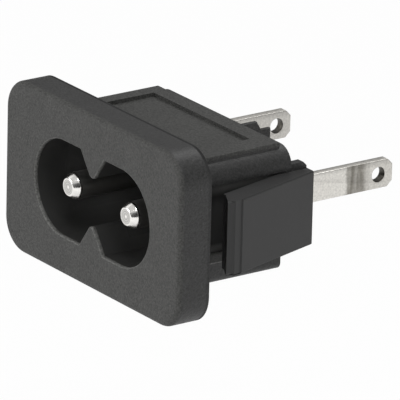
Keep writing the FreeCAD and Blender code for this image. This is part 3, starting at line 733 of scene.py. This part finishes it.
def mirror_pair_tree():
    """A tree that adds the mirrored twin of a stamped blank."""
    tree, start, end = new_group(
        "mirror_pair", "GeometryNodeTree",
        {"Geometry": "NodeSocketGeometry", "Finish": "NodeSocketMaterial"},
        {"Geometry": "NodeSocketGeometry"})
    twin = add_node(
        tree, "GeometryNodeTransform", {"Geometry": start["Geometry"], "Scale": (-1.0, 1.0, 1.0)})
    turned = add_node(tree, "GeometryNodeFlipFaces", {"Mesh": twin.outputs["Geometry"]}).outputs["Mesh"]
    both = add_node(tree, "GeometryNodeJoinGeometry", {"Geometry": turned})
    put(tree, start["Geometry"], both.inputs["Geometry"])
    close_tree(tree, both.outputs["Geometry"], start, end)
    return tree


def rounded(points, radius):
    """Rounds the inner corners of a profile of radius and place pairs."""
    path = [points[0]]
    for before, corner, after in zip(points, points[1:], points[2:]):
        here = Vector(corner)
        back = Vector(before) - here
        on = Vector(after) - here
        reach = min(radius, back.length * CORNER_REACH, on.length * CORNER_REACH)
        start = here + back.normalized() * reach
        finish = here + on.normalized() * reach
        for step in range(CORNER_STEPS + 1):
            share = step / CORNER_STEPS
            bend = start * (1 - share) ** 2 + here * 2 * share * (1 - share) + finish * share ** 2
            path.append((bend.x, bend.y))
    path.append(points[-1])
    return path


def turned_blank(form):
    """One contact on the middle line, spun from its rounded profile."""
    front = CONTACT_BOX[0].y
    back = CONTACT_BOX[1].y
    seat = form.rear + form.sheet
    profile = rounded([
        (0.0, front + form.dimple_depth),
        (form.dimple * DIMPLE_FLOOR, front + form.dimple_depth),
        (form.dimple, front),
        (form.tip, front),
        (form.pin, front + form.cone),
        (form.pin, form.floor),
        (form.root, form.floor),
        (form.root, form.rear),
        (form.tail, form.rear),
        (form.tail, seat),
        (form.head, seat),
        (form.head, seat + (back - seat) * HEAD_SIDE),
        (form.head * HEAD_CROWN, back),
        (0.0, back),
    ], TURNED_EDGE)
    shape = bmesh.new()
    line = [shape.verts.new((radius, place, 0.0)) for radius, place in profile]
    edges = [shape.edges.new(pair) for pair in zip(line, line[1:])]
    bmesh.ops.spin(shape, geom=line + edges, cent=(0, 0, 0), axis=(0, 1, 0), angle=2 * math.pi,
                   steps=form.turns, use_duplicate=False)
    bmesh.ops.remove_doubles(shape, verts=shape.verts, dist=MERGE_REACH)
    bmesh.ops.recalc_face_normals(shape, faces=shape.faces)
    mesh = bpy.data.meshes.new("contact_blank")
    shape.to_mesh(mesh)
    shape.free()
    mesh.shade_smooth()
    mesh.set_sharp_from_angle(angle=TURNED_ANGLE)
    return mesh


def bare_tree(owner):
    """Empties the node tree of a material or world and gives it."""
    owner.use_nodes = True
    owner.node_tree.nodes.clear()
    return owner.node_tree


def straight_rays(tree):
    """Gives the ray flags, and a mask of what is seen directly or through glass."""
    rays = add_node(tree, "ShaderNodeLightPath").outputs
    return rays, either(tree, rays["Is Camera Ray"], rays["Is Transmission Ray"])


def add_floor(setup):
    """A wide white floor that keeps a soft shadow."""
    height = HOUSING_BOX[0].z - setup.floor_drop
    corners = ((-1, -1), (1, -1), (1, 1), (-1, 1))
    mesh = bpy.data.meshes.new("floor")
    mesh.from_pydata([(x * FLOOR_HALF, y * FLOOR_HALF, height) for x, y in corners], [], [(0, 1, 2, 3)])
    floor = new_piece("floor", mesh)
    material = bpy.data.materials.new("white_floor")
    tree = bare_tree(material)
    matt = add_node(tree, "ShaderNodeBsdfDiffuse", {"Color": FLOOR_COLOUR}).outputs[0]
    white = add_node(tree, "ShaderNodeEmission", {"Color": WHITE, "Strength": 1.0}).outputs[0]
    rays, straight = straight_rays(tree)
    from_part = add_node(tree, "ShaderNodeVectorMath", {0: object_place(tree)}, operation="LENGTH")
    far = ramp(tree, from_part.outputs["Value"], (setup.dim_start, setup.dim_end))
    mirrored = product(tree, rays["Is Glossy Ray"], far)
    share = product(tree, either(tree, straight, mirrored), FLOOR_WHITENESS)
    mixed = add_node(tree, "ShaderNodeMixShader", {0: share, 1: matt, 2: white}).outputs[0]
    add_node(tree, "ShaderNodeOutputMaterial", {"Surface": mixed})
    mesh.materials.append(material)


def add_world(setup):
    """A white world to the eye, and a softer one for matt surfaces."""
    world = bpy.data.worlds.new("studio")
    tree = bare_tree(world)
    rays, straight = straight_rays(tree)
    direction = add_node(tree, "ShaderNodeTexCoord").outputs["Generated"]
    mirrored = ramp(tree, split(tree, direction)["Z"], SKY_RISE, (setup.sky, setup.zenith))
    matt = blend_value(tree, rays["Is Glossy Ray"], setup.ambient, mirrored)
    strength = either(tree, matt, straight)
    sky = add_node(tree, "ShaderNodeBackground", {"Color": WHITE, "Strength": strength})
    add_node(tree, "ShaderNodeOutputWorld", {"Surface": sky.outputs[0]})
    bpy.context.scene.world = world


def add_card(name, turn, half_width, lifts, shade):
    """A curtain-like card that only shiny surfaces show; its half width and lifts are in degrees."""
    points = []
    for lift in lifts:
        for side in (-half_width, half_width):
            angle = turn + math.radians(side)
            points.append((
                CARD_REACH * math.sin(angle),
                -CARD_REACH * math.cos(angle),
                CARD_REACH * math.tan(math.radians(lift)),
            ))
    mesh = bpy.data.meshes.new(name)
    mesh.from_pydata(points, [], [(0, 1, 3, 2)])
    card = new_piece(name, mesh)
    material = bpy.data.materials.new(name)
    tree = bare_tree(material)
    face = add_node(tree, "ShaderNodeEmission", {"Color": (shade, shade, shade, 1.0), "Strength": 1.0})
    add_node(tree, "ShaderNodeOutputMaterial", {"Surface": face.outputs[0]})
    mesh.materials.append(material)
    card.visible_camera = False
    card.visible_diffuse = False
    card.visible_shadow = False


def add_lamp(name, place, size, power, mirrored):
    """A square soft lamp that looks at the part."""
    data = bpy.data.lights.new(name, "AREA")
    data.shape = "SQUARE"
    data.size = size
    data.energy = power
    lamp = bpy.data.objects.new(name, data)
    lamp.location = place
    lamp.rotation_mode = "QUATERNION"
    lamp.rotation_quaternion = (-Vector(place)).to_track_quat("-Z", "Y")
    lamp.visible_glossy = mirrored
    bpy.context.scene.collection.objects.link(lamp)


def add_camera(setup):
    """The photograph's camera, aimed from the middle of the flange's front face."""
    level_reach = math.cos(setup.elevation)
    back = Vector((
        math.sin(setup.azimuth) * level_reach,
        -math.cos(setup.azimuth) * level_reach,
        math.sin(setup.elevation),
    ))
    level = Vector((math.cos(setup.azimuth), math.sin(setup.azimuth), 0.0))
    upright = back.cross(level)
    right = level * math.cos(setup.roll) + upright * math.sin(setup.roll)
    up = upright * math.cos(setup.roll) - level * math.sin(setup.roll)
    front = Vector((0.0, HOUSING_BOX[0].y, 0.0))
    place = front + back * setup.distance + right * setup.aim_right + up * setup.aim_up
    data = bpy.data.cameras.new("camera")
    data.sensor_width = SENSOR
    data.lens = setup.focal_pixels / FRAME_PIXELS * SENSOR
    data.clip_start = CLIP_START
    data.clip_end = CLIP_END
    camera = bpy.data.objects.new("camera", data)
    camera.matrix_world = Matrix.Translation(place) @ Matrix((right, up, back)).transposed().to_4x4()
    bpy.context.scene.collection.objects.link(camera)
    bpy.context.scene.camera = camera


class INLET_OT_housing(bpy.types.Operator):
    """Gives the black moulding its finish."""

    bl_idname = "inlet.housing"
    bl_label = "Finish the housing"

    def execute(self, context):
        finish = context.scene.inlet_housing
        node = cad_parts["housing"]
        node.data.materials.clear()
        node.data.materials.append(black_moulding(finish))
        return {"FINISHED"}


class INLET_OT_contacts(bpy.types.Operator):
    """Turns the pair of plated contacts."""

    bl_idname = "inlet.contacts"
    bl_label = "Turn the contacts"

    def execute(self, context):
        form = context.scene.inlet_contacts
        piece = new_piece("contacts", turned_blank(form))
        bake_nodes(piece, pole_pair_tree(), {"Pitch": 2 * POLE, "Finish": bright_nickel(form)})
        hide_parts("contact_left", "contact_right")
        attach(piece, BODY)
        return {"FINISHED"}


class INLET_OT_terminals(bpy.types.Operator):
    """Rounds the edges of the stamped terminals and tins them."""

    bl_idname = "inlet.terminals"
    bl_label = "Stamp the terminals"

    def execute(self, context):
        finish = context.scene.inlet_terminals
        piece = new_piece("terminals", merged_copy("terminal_right", "terminals"))
        round_edges(piece, finish.edge)
        bake_nodes(piece, mirror_pair_tree(), {"Finish": matt_tin(finish)})
        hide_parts("terminal_left", "terminal_right")
        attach(piece, BODY)
        return {"FINISHED"}


class INLET_OT_stage(bpy.types.Operator):
    """Sets up the floor, the soft lamps, the cards and the camera."""

    bl_idname = "inlet.stage"
    bl_label = "Set the stage"

    def execute(self, context):
        setup = context.scene.inlet_stage
        add_floor(setup)
        add_world(setup)
        for name, place, size, power, mirrored in LAMPS:
            add_lamp(name, place, size, getattr(setup, power), mirrored)
        add_card("dark_card", setup.azimuth + DARK_CARD_TURN, half_width=8.0, lifts=(-4.0, 34.0), shade=0.01)
        add_card("white_card", WHITE_CARD_TURN, half_width=24.0, lifts=(24.0, 70.0), shade=1.0)
        add_camera(setup)
        context.scene.view_settings.view_transform = "Standard"
        return {"FINISHED"}


class VIEW3D_PT_inlet(bpy.types.Panel):
    """Lists the inlet's steps and settings in the sidebar."""

    bl_label = "Panel inlet"
    bl_space_type = "VIEW_3D"
    bl_region_type = "UI"
    bl_category = "Inlet"

    def draw(self, context):
        for operator, group in zip(OPERATORS, SETTINGS):
            settings = getattr(context.scene, group)
            box = self.layout.box()
            box.operator(operator.bl_idname)
            for name in settings.__annotations__:
                box.prop(settings, name)


SETTINGS = {
    "inlet_housing": HousingFinish,
    "inlet_contacts": ContactForm,
    "inlet_terminals": TerminalFinish,
    "inlet_stage": StageSetup,
}
OPERATORS = (INLET_OT_housing, INLET_OT_contacts, INLET_OT_terminals, INLET_OT_stage)


def register():
    """Makes the settings, steps and panel known to Blender."""
    for name, group in SETTINGS.items():
        bpy.utils.register_class(group)
        setattr(bpy.types.Scene, name, PointerProperty(type=group))
    for operator in OPERATORS:
        bpy.utils.register_class(operator)
    bpy.utils.register_class(VIEW3D_PT_inlet)


def unregister():
    """Takes the panel, steps and settings out again."""
    bpy.utils.unregister_class(VIEW3D_PT_inlet)
    for operator in reversed(OPERATORS):
        bpy.utils.unregister_class(operator)
    for name, group in SETTINGS.items():
        delattr(bpy.types.Scene, name)
        bpy.utils.unregister_class(group)


def main():
    """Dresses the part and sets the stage."""
    register()
    bpy.ops.inlet.housing()
    bpy.ops.inlet.contacts()
    bpy.ops.inlet.terminals()
    bpy.ops.inlet.stage()


if __name__ == "__main__":
    main()
